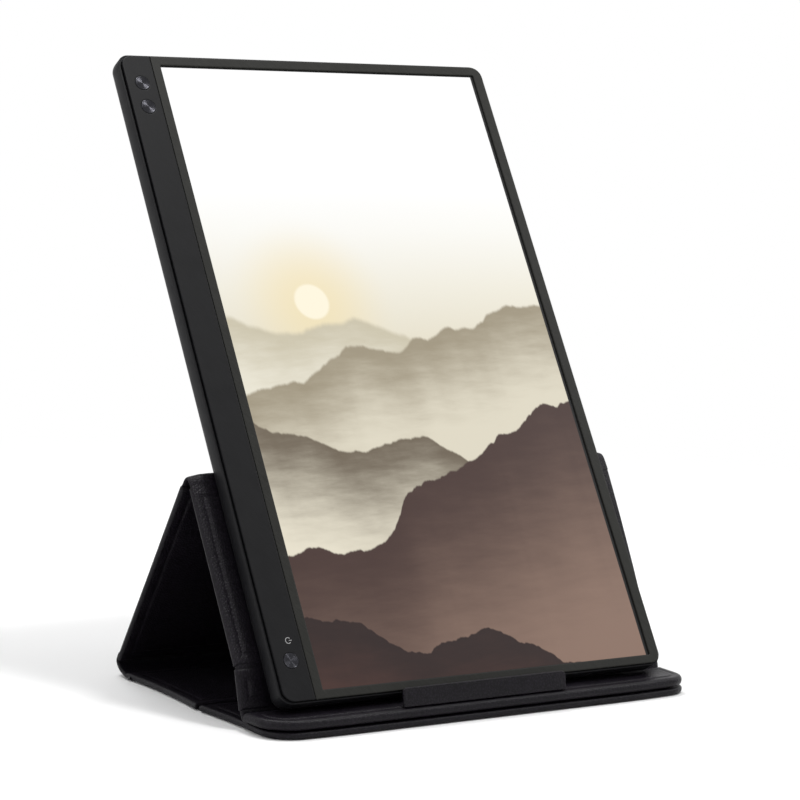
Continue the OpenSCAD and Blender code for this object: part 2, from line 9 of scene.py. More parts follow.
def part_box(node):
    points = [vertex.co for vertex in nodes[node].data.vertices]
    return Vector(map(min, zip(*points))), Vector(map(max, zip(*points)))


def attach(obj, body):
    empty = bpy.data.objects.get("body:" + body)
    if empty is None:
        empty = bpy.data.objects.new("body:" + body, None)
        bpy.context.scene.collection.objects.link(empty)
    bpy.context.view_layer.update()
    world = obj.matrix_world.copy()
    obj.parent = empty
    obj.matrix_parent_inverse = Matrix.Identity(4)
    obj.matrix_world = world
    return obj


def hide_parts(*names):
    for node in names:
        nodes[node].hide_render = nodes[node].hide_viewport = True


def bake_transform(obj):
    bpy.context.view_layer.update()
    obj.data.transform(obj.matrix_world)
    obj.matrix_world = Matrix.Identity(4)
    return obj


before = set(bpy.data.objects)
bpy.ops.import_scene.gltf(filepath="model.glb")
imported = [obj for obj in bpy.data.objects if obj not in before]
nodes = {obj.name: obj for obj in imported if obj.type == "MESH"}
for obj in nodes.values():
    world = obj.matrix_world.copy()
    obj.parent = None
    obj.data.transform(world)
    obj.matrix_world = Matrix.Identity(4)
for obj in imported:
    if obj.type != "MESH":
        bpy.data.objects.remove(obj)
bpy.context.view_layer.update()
mm = 0.001
print("frame loaded:", len(nodes), "nodes")

# Sizes shared by the pieces, in mm and degrees, as in the construction
stand = {
    "lean": 32.2, "displayFoot": (-68.5, 15.047), "display": (226.4, 356.8, 12.0),
    "baseFront": -80.0, "stripDepth": 27.5, "panelThick": 3.6, "stripThick": 5.4, "stripLow": 3.9,
    "rearRadius": 5.8, "ridgeRadius": 2.6, "toeRadius": 2.4, "backGap": 0.4,
    "ridgeUp": 121.5, "kinkUp": 25.0, "kinkGap": 0.6, "foldGap": 0.3, "coverWidth": 251.0,
    "creaseBack": 71.5, "creaseGap": 3.0, "rearLeg": 2.0, "rearBare": 5.0, "baseBack": 80.0,
}
lean = math.radians(stand["lean"])
monY, monZ = stand["displayFoot"]
monW, monH, monT = stand["display"]
panelThick = stand["panelThick"]


def onDisplay(deep, up):  # (y, z) of a point behind the display's front face and up along it
    return (monY + up * math.sin(lean) + deep * math.cos(lean),
            monZ + up * math.cos(lean) - deep * math.sin(lean))


panelDeep = monT + stand["backGap"]
ridge = onDisplay(panelDeep + stand["ridgeRadius"], stand["ridgeUp"])
kink = onDisplay(panelDeep + panelThick / 2, stand["kinkUp"])
toeEnd = stand["toeRadius"] + stand["foldGap"]
ridgeEnd = stand["ridgeRadius"] + stand["foldGap"] + 0.1
toe = (stand["baseFront"] + stand["stripDepth"] + toeEnd, stand["stripLow"] + stand["toeRadius"])
rear = (stand["baseBack"] - stand["rearRadius"], stand["rearRadius"])
toeLean = math.atan2(kink[0] - toe[0], kink[1] - toe[1])
toeLength = math.dist(kink, toe) - toeEnd - stand["kinkGap"]
rearRun = math.dist(ridge, rear)
radiusStep = stand["rearRadius"] - stand["ridgeRadius"]
rearLean = math.atan2(rear[0] - ridge[0], ridge[1] - rear[1]) + math.asin(radiusStep / rearRun)
rearLength = math.sqrt(rearRun ** 2 - radiusStep ** 2) - ridgeEnd
frontLength = stand["ridgeUp"] - ridgeEnd - stand["kinkUp"] - stand["kinkGap"]
crease = stand["baseFront"] + stand["creaseBack"]


def place(x, y, z, turn=0.0):  # a frame at a point in mm, turned about X
    return Matrix.Translation((x * mm, y * mm, z * mm)) @ Matrix.Rotation(turn, 4, "X")


def laid(front, low, thick):  # a panel lying on its back
    return place(0, front, low + thick, -math.pi / 2)


displayFrame = place(0, monY, monZ, -lean)
frontFrame = displayFrame @ place(0, panelDeep, stand["kinkUp"] + stand["kinkGap"])
toeFrame = place(0, toe[0], toe[1], -toeLean) @ place(0, -panelThick / 2, toeEnd)
rearFrame = place(0, rear[0], rear[1], rearLean) @ place(0, stand["rearRadius"] - panelThick, 0)


# Materials

def linear(code):  # sRGB hex to a linear colour
    channels = [int(code[i:i + 2], 16) / 255 for i in (1, 3, 5)]
    return tuple(c / 12.92 if c <= 0.04045 else ((c + 0.055) / 1.055) ** 2.4 for c in channels) + (1.0,)


def addNode(tree, kind, settings=None, links=None):  # a link from a node is from its first output
    node = tree.nodes.new(kind)
    for key, value in (settings or {}).items():
        if key == "stops":
            for index, (spot, colour) in enumerate(value):
                stop = node.color_ramp.elements[index] if index < 2 else node.color_ramp.elements.new(spot)
                stop.position, stop.color = spot, colour
        elif isinstance(key, int) or key in node.inputs:
            node.inputs[key].default_value = value
        else:
            setattr(node, key, value)
    for key, source in (links or {}).items():
        output = source.outputs[0] if isinstance(source, bpy.types.Node) else source
        tree.links.new(output, node.inputs[key])
    return node


def startMaterial(name):
    material = bpy.data.materials.new(name)
    material.use_nodes = True
    tree = material.node_tree
    tree.nodes.clear()
    spot = addNode(tree, "ShaderNodeTexCoord").outputs["Object"]
    return material, tree, spot


def closeMaterial(material, tree, settings, links):
    shader = addNode(tree, "ShaderNodeBsdfPrincipled", settings, links)
    addNode(tree, "ShaderNodeOutputMaterial", None, {"Surface": shader.outputs["BSDF"]})
    return material


def blotches(tree, spot, size, low, high):  # slow change between two values, size in mm
    cloud = addNode(tree, "ShaderNodeTexNoise", {"Scale": 1000 / size, "Detail": 3.0}, {"Vector": spot})
    spread = {"From Min": 0.3, "From Max": 0.7, "To Min": low, "To Max": high}
    return addNode(tree, "ShaderNodeMapRange", spread, {"Value": cloud})


def mottled(tree, spot, size, dark, light):  # slow change between two colours, size in mm
    share = blotches(tree, spot, size, 0.0, 1.0)
    ends = {"data_type": "RGBA", 6: linear(dark), 7: linear(light)}
    return addNode(tree, "ShaderNodeMix", ends, {0: share}).outputs[2]


# Polyurethane leather, embossed with a pebble grain and heat-pressed: soft broken highlights
leatherLook = {
    "dark": "#120f15", "light": "#1c181f", "valley": "#0b090d", "rough": (0.34, 0.48),
    "grain": 1.5, "pore": 0.6, "wave": 26.0, "warp": 4.0, "patch": 34, "sheen": 18,  # sizes in mm
}


def embossedLeather():
    look = leatherLook
    material, tree, spot = startMaterial("embossedLeather")
    warp = addNode(tree, "ShaderNodeTexNoise",
                   {"Scale": 1000 / look["warp"], "Detail": 2.0}, {"Vector": spot})
    bent = addNode(tree, "ShaderNodeMix", {"data_type": "VECTOR", 0: 0.0006},
                   {4: spot, 5: warp.outputs["Color"]})
    cells = addNode(tree, "ShaderNodeTexVoronoi",
                    {"feature": "DISTANCE_TO_EDGE", "Scale": 1000 / look["grain"]},
                    {"Vector": bent.outputs[1]})
    pebble = addNode(tree, "ShaderNodeMapRange",
                     {"interpolation_type": "SMOOTHSTEP", "From Min": 0.0, "From Max": 0.28},
                     {"Value": cells.outputs["Distance"]})
    pores = addNode(tree, "ShaderNodeTexNoise",
                    {"Scale": 1000 / look["pore"], "Detail": 4.0, "Roughness": 0.6}, {"Vector": spot})
    waves = addNode(tree, "ShaderNodeTexNoise",
                    {"Scale": 1000 / look["wave"], "Detail": 2.0}, {"Vector": spot})
    slow = addNode(tree, "ShaderNodeBump", {"Strength": 0.5, "Distance": 0.9 * mm}, {"Height": waves})
    grain = addNode(tree, "ShaderNodeBump", {"Strength": 0.42, "Distance": 0.2 * mm},
                    {"Height": pebble, "Normal": slow})
    skin = addNode(tree, "ShaderNodeBump", {"Strength": 0.25, "Distance": 0.1 * mm},
                   {"Height": pores, "Normal": grain})
    crowns = mottled(tree, spot, look["patch"], look["dark"], look["light"])
    colour = addNode(tree, "ShaderNodeMix", {"data_type": "RGBA", 6: linear(look["valley"])},
                     {0: pebble, 7: crowns})
    rough = blotches(tree, spot, look["sheen"], *look["rough"])
    return closeMaterial(material, tree, {"IOR": 1.5, "Specular IOR Level": 0.14},
                         {"Base Color": colour.outputs[2], "Roughness": rough, "Normal": skin})


# ABS moulded in a spark-eroded tool: an even fine grit that scatters the highlight
def mouldedAbs(name, dark, light, rough):
    material, tree, spot = startMaterial(name)
    grit = addNode(tree, "ShaderNodeTexNoise", {"Scale": 1000 / 0.9, "Detail": 3.0, "Roughness": 0.7},
                   {"Vector": spot})
    pits = addNode(tree, "ShaderNodeTexVoronoi", {"Scale": 1000 / 0.7}, {"Vector": spot})
    bump = addNode(tree, "ShaderNodeBump", {"Strength": 0.3, "Distance": 0.08 * mm}, {"Height": grit})
    pitted = addNode(tree, "ShaderNodeBump", {"Strength": 0.22, "Distance": 0.06 * mm},
                     {"Height": pits.outputs["Distance"], "Normal": bump})
    return closeMaterial(material, tree, {"IOR": 1.53, "Specular IOR Level": 0.12},
                         {"Base Color": mottled(tree, spot, 40, dark, light),
                          "Roughness": blotches(tree, spot, 6, *rough), "Normal": pitted})


# ABS face plate moulded with a slanted hairline texture: fine streaks that glint along their length.
# Real hairlines are 0.1 mm apart; drawn at 0.5 mm so that they show.
def hairlineAbs(name, dark, light, rough, slant):
    material, tree, spot = startMaterial(name)
    turned = addNode(tree, "ShaderNodeMapping", {"Rotation": (0.0, slant, 0.0)}, {"Vector": spot})
    drawn = addNode(tree, "ShaderNodeMapping", {"Scale": (1000 / 0.5, 1000 / 3, 1000 / 9.0)},
                    {"Vector": turned})
    lines = addNode(tree, "ShaderNodeTexNoise", {"Scale": 1.0, "Detail": 3.0, "Roughness": 0.6},
                    {"Vector": drawn})
    grit = addNode(tree, "ShaderNodeTexNoise", {"Scale": 1000 / 0.8, "Detail": 2.0}, {"Vector": spot})
    bump = addNode(tree, "ShaderNodeBump", {"Strength": 0.35, "Distance": 0.09 * mm}, {"Height": lines})
    skin = addNode(tree, "ShaderNodeBump", {"Strength": 0.2, "Distance": 0.05 * mm},
                   {"Height": grit, "Normal": bump})
    share = addNode(tree, "ShaderNodeMapRange", {"From Min": 0.3, "From Max": 0.7}, {"Value": lines})
    colour = addNode(tree, "ShaderNodeMix", {"data_type": "RGBA", 6: linear(dark), 7: linear(light)},
                     {0: share})
    return closeMaterial(material, tree, {"IOR": 1.53, "Specular IOR Level": 0.10},
                         {"Base Color": colour.outputs[2], "Roughness": blotches(tree, spot, 12, *rough),
                          "Normal": skin})


# Liquid crystal panel under an anti-glare film, lit from behind: a bright even picture with a faint sheen.
# The picture is a plain wallpaper: ridges of hills in mist under a white sky with a low sun.
wallpaper = {
    "area": (-89.0, 104.6, 5.6, 349.8), "drift": 0.055,  # left, right, low and high in mm; wear of the mist
    "sky": [(0.0, "#d9d1bb"), (0.52, "#e4ddc8"), (0.62, "#efebdd"), (0.72, "#f9f8f3"), (0.80, "#fefefe")],
    # across and up in shares of the picture, radius and soft rim in mm, colour, share
    "sun": [(0.27, 0.60, 52.0, 46.0, "#f3dfa8", 0.60), (0.27, 0.60, 11.0, 2.0, "#fff8e2", 0.85)],
    # height, slope, jag, stretch, shift, crest colour, mist colour, depth of the mist, softness
    "ridges": [
        (0.570, -0.05, 0.12, 2.2, 3.1, "#c9c1a9", "#e9e4d3", 0.13, 0.012),
        (0.455, 0.14, 0.15, 2.4, 7.7, "#9c917a", "#ded7c3", 0.17, 0.007),
        (0.400, -0.10, 0.17, 2.0, 12.4, "#6b5f4e", "#e6dfcb", 0.20, 0.005),
        (0.170, 0.26, 0.20, 2.1, 21.3, "#422c26", "#8a7062", 0.38, 0.004),
        (0.110, -0.14, 0.17, 2.6, 31.9, "#261411", "#51332a", 0.22, 0.003),
    ],
}


def litPanel():
    look = wallpaper
    drift = look["drift"]
    material, tree, spot = startMaterial("litPanel")
    left, right, low, high = look["area"]
    parts = addNode(tree, "ShaderNodeSeparateXYZ", None, {"Vector": spot})
    across = addNode(tree, "ShaderNodeMapRange",
                     {"clamp": False, "From Min": left * mm, "From Max": right * mm},
                     {"Value": parts.outputs["X"]})
    up = addNode(tree, "ShaderNodeMapRange", {"clamp": False, "From Min": low * mm, "From Max": high * mm},
                 {"Value": parts.outputs["Z"]})
    stops = [(height, linear(code)) for height, code in look["sky"]]
    picture = addNode(tree, "ShaderNodeValToRGB", {"stops": stops}, {"Fac": up})
    for sunX, sunZ, radius, rim, code, strength in look["sun"]:
        middle = ((left + (right - left) * sunX) * mm, 0.0, (low + (high - low) * sunZ) * mm)
        away = addNode(tree, "ShaderNodeVectorMath", {"operation": "DISTANCE", 1: middle}, {0: spot})
        disc = addNode(tree, "ShaderNodeMapRange",
                       {"interpolation_type": "SMOOTHSTEP", "From Min": radius * mm,
                        "From Max": (radius - rim) * mm, "To Max": strength},
                       {"Value": away.outputs["Value"]})
        picture = addNode(tree, "ShaderNodeMix", {"data_type": "RGBA", 7: linear(code)},
                          {0: disc, 6: picture}).outputs[2]
    slanted = addNode(tree, "ShaderNodeMapping",
                      {"Rotation": (0.0, 0.6, 0.0), "Scale": (1000 / 30, 1.0, 1000 / 7)}, {"Vector": spot})
    drifts = addNode(tree, "ShaderNodeTexNoise", {"Scale": 1.0, "Detail": 5.0, "Roughness": 0.6},
                     {"Vector": slanted})
    for height, slope, jag, stretch, shift, crest, mist, deep, soft in look["ridges"]:
        along = addNode(tree, "ShaderNodeMath", {"operation": "ADD", 1: shift}, {0: across})
        jags = addNode(tree, "ShaderNodeTexNoise",
                       {"noise_dimensions": "1D", "Scale": stretch, "Detail": 7.0, "Roughness": 0.48},
                       {"W": along})
        trend = addNode(tree, "ShaderNodeMath",
                        {"operation": "MULTIPLY_ADD", 1: slope, 2: height - jag / 2}, {0: across})
        line = addNode(tree, "ShaderNodeMath", {"operation": "MULTIPLY_ADD", 1: jag}, {0: jags, 2: trend})
        below = addNode(tree, "ShaderNodeMath", {"operation": "SUBTRACT"}, {0: line, 1: up})
        worn = addNode(tree, "ShaderNodeMath", {"operation": "MULTIPLY_ADD", 1: 2 * drift},
                       {0: drifts, 2: below})
        veil = addNode(tree, "ShaderNodeMapRange",
                       {"interpolation_type": "SMOOTHSTEP", "From Min": drift - 0.01,
                        "From Max": drift + deep}, {"Value": worn})
        hill = addNode(tree, "ShaderNodeMix", {"data_type": "RGBA", 6: linear(crest), 7: linear(mist)},
                       {0: veil})
        edge = addNode(tree, "ShaderNodeMapRange",
                       {"interpolation_type": "SMOOTHSTEP", "From Min": 0.0, "From Max": soft},
                       {"Value": below})
        picture = addNode(tree, "ShaderNodeMix", {"data_type": "RGBA"},
                          {0: edge, 6: picture, 7: hill.outputs[2]}).outputs[2]
    for share in (across, up):  # unlit glass outside the picture
        inside = addNode(tree, "ShaderNodeMath", {"operation": "COMPARE", 1: 0.5, 2: 0.5}, {0: share})
        picture = addNode(tree, "ShaderNodeMix", {"data_type": "RGBA", 6: (0, 0, 0, 1)},
                          {0: inside, 7: picture}).outputs[2]
    grid = addNode(tree, "ShaderNodeTexNoise", {"Scale": 1000 / 0.5, "Detail": 1.0}, {"Vector": spot})
    bump = addNode(tree, "ShaderNodeBump", {"Strength": 0.08, "Distance": 0.05 * mm}, {"Height": grid})
    return closeMaterial(material, tree,
                         {"Base Color": linear("#0b0b0c"), "Roughness": 0.38, "IOR": 1.5,
                          "Specular IOR Level": 0.2, "Emission Strength": 0.98},
                         {"Emission Color": picture, "Normal": bump})


# Aluminium turned on a lathe and anodised black: rings that pull the highlight into two wedges
def turnedAluminium():
    material, tree, spot = startMaterial("turnedAluminium")
    flat = addNode(tree, "ShaderNodeMapping", {"Scale": (1.0, 0.0, 1.0)}, {"Vector": spot})
    away = addNode(tree, "ShaderNodeVectorMath", {"operation": "LENGTH"}, {0: flat})
    rings = addNode(tree, "ShaderNodeMath", {"operation": "MULTIPLY", 1: 2 * math.pi / (0.42 * mm)},
                    {0: away.outputs["Value"]})
    wave = addNode(tree, "ShaderNodeMath", {"operation": "SINE"}, {0: rings})
    bump = addNode(tree, "ShaderNodeBump", {"Strength": 0.3, "Distance": 0.03 * mm}, {"Height": wave})
    around = addNode(tree, "ShaderNodeTangent", {"direction_type": "RADIAL", "axis": "Y"})
    return closeMaterial(material, tree,
                         {"Metallic": 1.0, "Roughness": 0.25, "Anisotropic": 1.0,
                          "Anisotropic Rotation": 0.25},
                         {"Base Color": mottled(tree, spot, 1.5, "#2c2c2f", "#36363a"),
                          "Normal": bump, "Tangent": around})


# Sheet steel, drawn and nickel plated: bright with faint rolling marks
def platedSteel(name, dark, light, rough):
    material, tree, spot = startMaterial(name)
    drawn = addNode(tree, "ShaderNodeMapping", {"Scale": (1000 / 0.4, 1000 / 0.4, 1000 / 6)},
                    {"Vector": spot})
    marks = addNode(tree, "ShaderNodeTexNoise", {"Scale": 1.0, "Detail": 3.0}, {"Vector": drawn})
    bump = addNode(tree, "ShaderNodeBump", {"Strength": 0.2, "Distance": 0.04 * mm}, {"Height": marks})
    colour = addNode(tree, "ShaderNodeMix", {"data_type": "RGBA", 6: linear(dark), 7: linear(light)},
                     {0: marks})
    return closeMaterial(material, tree, {"Metallic": 1.0},
                         {"Base Color": colour.outputs[2], "Roughness": blotches(tree, spot, 3, *rough),
                          "Normal": bump})


# Moulded or rolled plastics and boards inside: a fine grain over slow colour change
def innerPlastic(name, dark, light, rough, grain, settings=None):
    material, tree, spot = startMaterial(name)
    grit = addNode(tree, "ShaderNodeTexNoise", {"Scale": 1000 / grain, "Detail": 4.0}, {"Vector": spot})
    bump = addNode(tree, "ShaderNodeBump", {"Strength": 0.25, "Distance": 0.1 * mm}, {"Height": grit})
    return closeMaterial(material, tree, {"Roughness": rough, **(settings or {})},
                         {"Base Color": mottled(tree, spot, 20, dark, light), "Normal": bump})


# Glass fibre board under green solder mask: copper tracks show as a lighter raised grid
def solderMask():
    material, tree, spot = startMaterial("solderMask")
    tracks = addNode(tree, "ShaderNodeTexBrick",
                     {"Scale": 1000 / 5.0, "Mortar Size": 0.03, "offset": 0.37, "Color1": linear("#0f4a2c"),
                      "Color2": linear("#14573a"), "Mortar": linear("#2c7a52")}, {"Vector": spot})
    bump = addNode(tree, "ShaderNodeBump", {"Strength": 0.2, "Distance": 0.05 * mm},
                   {"Height": tracks.outputs["Fac"]})
    return closeMaterial(material, tree, {"Roughness": 0.35, "IOR": 1.5},
                         {"Base Color": tracks.outputs["Color"], "Normal": bump})


leather = embossedLeather()
housingAbs = mouldedAbs("sparkTexturedAbs", "#121214", "#19191b", (0.38, 0.50))
chinAbs = hairlineAbs("hairlineAbsChin", "#0d0d0e", "#131315", (0.36, 0.46), math.radians(38))
# The bezel is the chin's hairline ABS in lighter colours: painted sheen that stands in for the bezel's gloss
bezelAbsPaintedSheen = hairlineAbs("hairlineAbsBezelPaintedSheen", "#20201e", "#2b2b28", (0.32, 0.42), math.radians(38))
panelGlass = litPanel()
buttonMetal = turnedAluminium()
socketSteel = platedSteel("nickelPlatedSteel", "#a8a9ac", "#c6c7c9", (0.22, 0.34))
screwSteel = platedSteel("blackZincSteel", "#3b3b3e", "#555558", (0.30, 0.42))
traySteel = platedSteel("zincPlatedSteel", "#b4b6b8", "#cfd0d1", (0.28, 0.40))
contactGold = platedSteel("goldPlatedCopper", "#c79a45", "#e3bd6a", (0.20, 0.30))
magnetNickel = platedSteel("nickelPlatedMagnet", "#b7b3aa", "#d0ccc4", (0.15, 0.25))
markPaint = innerPlastic("padPrintedInk", "#8d8d8d", "#9c9c9c", 0.5, 0.3)
greenBoard = solderMask()
print("materials made:", len(bpy.data.materials))


# Mesh building

def addObject(name, builder, sharp=32.0):  # edges sharper than this many degrees stay hard
    bmesh.ops.recalc_face_normals(builder, faces=builder.faces)
    for edge in builder.edges:
        edge.smooth = not (len(edge.link_faces) == 2 and edge.calc_face_angle() > math.radians(sharp))
    for face in builder.faces:
        face.smooth = True
    mesh = bpy.data.meshes.new(name)
    builder.to_mesh(mesh)
    builder.free()
    made = bpy.data.objects.new(name, mesh)
    bpy.context.collection.objects.link(made)
    return made


def makePiece(name, builder, material, body, replaced=(), at=None, sharp=32.0):
    piece = addObject(name, builder, sharp)
    piece.data.materials.append(material)
    if at is not None:
        piece.matrix_world = at
    if body:
        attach(piece, body)
    if replaced:
        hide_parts(*replaced)
    return piece


def roundedLoop(box, radii, inset, sideSteps=(24, 16), cornerSteps=8):
    left, right, low, high = box
    arcs = []
    for cornerX, cornerZ, start, radius in ((left, low, 180, radii[0]), (right, low, 270, radii[1]),
                                            (right, high, 0, radii[2]), (left, high, 90, radii[3])):
        r = max(radius - inset, 0.02)
        middleX = cornerX + (inset + r) * (1 if cornerX == left else -1)
        middleZ = cornerZ + (inset + r) * (1 if cornerZ == low else -1)
        turns = [math.radians(start + 90 * k / cornerSteps) for k in range(cornerSteps + 1)]
        arcs.append([(middleX + r * math.cos(a), middleZ + r * math.sin(a)) for a in turns])
    loop = []
    for index, arc in enumerate(arcs):
        (x0, z0), (x1, z1) = arc[-1], arcs[(index + 1) % 4][0]
        steps = sideSteps[index % 2]
        loop += arc
        loop += [(x0 + (x1 - x0) * k / steps, z0 + (z1 - z0) * k / steps) for k in range(1, steps)]
    return loop


def circleLoop(x, z, radius, steps=48):
    turns = [2 * math.pi * k / steps for k in range(steps)]
    return [(x + radius * math.cos(a), z + radius * math.sin(a)) for a in turns]


def addRing(builder, loop, deep):
    return [builder.verts.new((x * mm, deep * mm, z * mm)) for x, z in loop]


def addLevel(builder, loop, up):
    return [builder.verts.new((x * mm, y * mm, up * mm)) for x, y in loop]


def joinRings(builder, rings, capped=True):
    for first, second in zip(rings, rings[1:]):
        for a, b, c, d in zip(first, first[1:] + first[:1], second[1:] + second[:1], second):
            builder.faces.new((a, b, c, d))
    if capped:
        builder.faces.new(rings[0])
        builder.faces.new(rings[-1])
    return rings[0], rings[-1]


def ringStack(builder, loopAt, profile, capped=True):  # profile: (inset or radius, depth)
    return joinRings(builder, [addRing(builder, loopAt(size), deep) for size, deep in profile], capped)


def fillBetween(builder, loops):  # a flat face with holes
    edges = []
    for loop in loops:
        for ends in zip(loop, loop[1:] + loop[:1]):
            edges.append(builder.edges.get(ends) or builder.edges.new(ends))
    bmesh.ops.triangle_fill(builder, use_beauty=True, edges=edges)


def roundEdge(radius, thick, steps=5):  # (inset, depth) over the front edge and round the back one
    turns = [math.pi / 2 * k / steps for k in range(steps + 1)]
    front = [(radius * (1 - math.sin(a)), radius * (1 - math.cos(a))) for a in turns]
    return front + [(inset, thick - deep) for inset, deep in reversed(front)]


# Leather panels: a board wrapped in leather, with a pressed weld line inside its edge

# Seed of the waves, distance and depth of the weld line, and in mm how far the right and left edges are
# drawn in at their low end, middle and high end, how far the front corners bow back and how much wider it is
panelBase = {"weld": 5.6, "press": 0.42, "right": (0, 0, 0), "left": (0, 0, 0), "bow": 0.0, "wider": 0.0}
panelLook = {
    "lowerFrontPanel": {"seed": 1.0, "right": (1.6, 0.8, 0.0), "left": (2.2, 2.4, -0.9), "bow": 2.0},
    "lowerRearPanel": {"seed": 2.0, "left": (-1.1, 0.3, -2.0)},
    "rearPanel": {"seed": 3.0, "right": (0.0, 0.6, 1.2), "left": (-0.2, -0.6, -1.1), "wider": 2.4},
    "frontPanel": {"seed": 4.0, "right": (4.4, 0.9, -1.0)},
    "toePanel": {"seed": 5.0, "right": (3.4, 4.0, 4.4)},
    "upperStrip": {"seed": 6.0, "right": (2.0, 1.8, 1.8), "left": (1.4, 1.0, 0.0), "bow": 2.0},
    "stopLip": {"seed": 7.0, "weld": 1.9, "press": 0.16},
}
lipLook = {"middle": -3, "width": 96, "height": 9.6, "thick": 2.0, "behind": 2.4, "up": 9.6, "lean": -10,
           "corners": (1.0, 1.0, 2.5, 2.5), "flapWidth": 93}
lipFrame = place(lipLook["middle"], stand["baseFront"] + lipLook["behind"], lipLook["up"],
                 math.radians(lipLook["lean"])) @ place(0, -lipLook["thick"] / 2, 0)


def drawnIn(pulls, t):  # smooth curve through the pulls at the start, middle and end of an edge
    return pulls[0] * (1 - t) * (1 - 2 * t) + pulls[1] * 4 * t * (1 - t) + pulls[2] * t * (2 * t - 1)


def leatherPanel(name, width, length, thick, radii, at, body, replaced):
    look = {**panelBase, **panelLook[name]}
    weld, press = look["weld"], look["press"]
    width += look["wider"]
    builder = bmesh.new()
    box = (-width / 2, width / 2, 0.0, length)
    reach = min(width, length) / 2 - 0.4
    radius = thick / 2 - 0.12
    flange = 0.16 if thick > 3 else 0.06  # the welded rim is a little thinner than the padded middle
    face = [(inset, 0.0) for inset in (58, 50, 42, 34, 26, 19, 14, 10.5, 8.6) if inset > weld + 1.6]
    face += [(weld + 1.5, 0.0), (weld + 0.95, press * 0.25), (weld + 0.5, press * 0.8), (weld, press),
             (weld - 0.5, press * 0.85), (weld - 1.0, flange * 1.6), (weld - 1.7, flange)]
    face = [(inset, deep) for inset, deep in face if radius + 0.4 < inset < reach]
    edge = [(inset, flange + deep) for inset, deep in roundEdge(radius - flange, thick - 2 * flange)]
    back = [(inset, thick - deep) for inset, deep in reversed(face)]
    sideSteps = (max(int(width / 4), 8), max(int(length / 4), 5))
    ringStack(builder, lambda inset: roundedLoop(box, radii, inset, sideSteps), face + edge + back)
    for vertex in builder.verts:
        x, deep, z = vertex.co / mm
        inside = min(x + width / 2, width / 2 - x, z, length - z)
        wave = 1 + noise.noise(Vector((x / 23, z / 19, look["seed"])))
        swell = 0.07 * wave * min(max(inside / 8, 0), 1)  # slow waves, always inwards
        vertex.co.y += (swell if deep < thick / 2 else -swell) * mm
        for side, pulls in ((1, look["right"]), (-1, look["left"])):
            nearEdge = min(max((side * x - width / 2 + 14) / 14, 0), 1)
            vertex.co.x -= side * drawnIn(pulls, z / length) * nearEdge * mm
        nearCorner = min(max((abs(x) - 78) / 40, 0), 1) ** 2 * min(max(1 - z / 14, 0), 1)
        vertex.co.z += look["bow"] * nearCorner * mm
    makePiece(name, builder, leather, body, replaced, at, sharp=50)


cover = stand["coverWidth"]
roundFront = (18.0, 12.0, 0.6, 0.6)  # corner radii: low left, low right, high right, high left
roundTop = (0.6, 0.6, 0.8, 0.8)
square = (0.6,) * 4
lowerFrontLength = stand["creaseBack"] - stand["creaseGap"] / 2
lowerRearStart = crease + stand["creaseGap"] / 2
lowerRearLength = rear[0] - stand["rearLeg"] - stand["rearBare"] - lowerRearStart
stripPlace = laid(stand["baseFront"], stand["stripLow"], stand["stripThick"])
leatherPanel("lowerFrontPanel", cover, lowerFrontLength, panelThick, roundFront,
             laid(stand["baseFront"], 0, panelThick), "base", ["lower_front_skin"])
leatherPanel("lowerRearPanel", cover, lowerRearLength, panelThick, square,
             laid(lowerRearStart, 0, panelThick), "base", ["lower_rear_skin"])
leatherPanel("rearPanel", cover, rearLength, panelThick, roundTop, rearFrame, "rear_panel",
             ["rear_panel_skin"])
leatherPanel("frontPanel", cover, frontLength, panelThick, roundTop, frontFrame, "front_panel",
             ["front_panel_skin"])
leatherPanel("toePanel", cover, toeLength, panelThick, square, toeFrame, "toe", ["toe_skin"])
leatherPanel("upperStrip", cover, stand["stripDepth"], stand["stripThick"], roundFront, stripPlace, "strip",
             ["strip_skin"])
leatherPanel("stopLip", lipLook["width"], lipLook["height"], lipLook["thick"], lipLook["corners"],
             lipFrame, "lip", ["lip_skin"])
print("leather panels made")


# Fold bands: the bare leather between two boards, tucked under the panels at both ends

# Thickness, seed of the crumple, pulls as for the panels, sink of the ends and the band's middle, in mm
bandBase = {"right": (0, 0, 0), "left": (0, 0, 0), "sink": 0.0, "middle": 0.0}
bandLook = {
    "rearFoldBand": {"thick": 2.0, "seed": 11.0, "right": (0.2, -0.4, 0.2), "left": (-2.2, -1.2, -1.4)},
    "ridgeFoldBand": {"thick": 1.4, "seed": 12.0, "right": (0.7, -0.4, -0.7), "left": (-1.6, -0.4, 0.4),
                      "sink": 1.6},
    "kinkBand": {"thick": 2.2, "seed": 13.0, "right": (3.4, 3.4, 3.4)},
    "toeFoldBand": {"thick": 2.1, "seed": 14.0},
    "creaseBand": {"thick": 0.9, "seed": 15.0},
    "lipFlap": {"thick": 0.62, "seed": 16.0, "middle": lipLook["middle"]},
}


